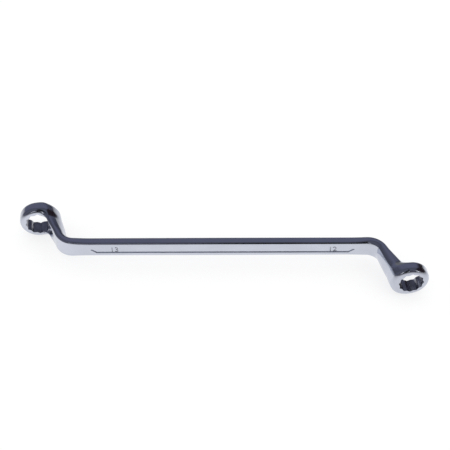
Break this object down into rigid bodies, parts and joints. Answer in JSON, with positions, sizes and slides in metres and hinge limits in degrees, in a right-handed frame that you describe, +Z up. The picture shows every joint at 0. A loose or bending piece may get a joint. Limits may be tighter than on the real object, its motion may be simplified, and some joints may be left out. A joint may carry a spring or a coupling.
{
  "type": "ring spanner",
  "caption": "Deep-offset double-ended ring spanner forged in one piece, its bi-hexagon ring sockets turned to opposite sides of a slim shank with sunk panels.",
  "frame": {"origin": "on the surface that the spanner lies on, under the middle of its bounding box", "axes": "+X along the shank, from the 13 mm ring to the 12 mm ring; +Y square to the shank's wide faces, towards the side that the 13 mm ring is turned to; +Z up, with the spanner lying on the outside of its rings"},
  "size_m": [0.2244, 0.0546, 0.021],
  "materials": {
    "chrome_plate": "bright chrome plate over a polished steel forging"
  },
  "bodies": {
    "root": {"spanner": "chrome_plate"}
  },
  "joints": []
}
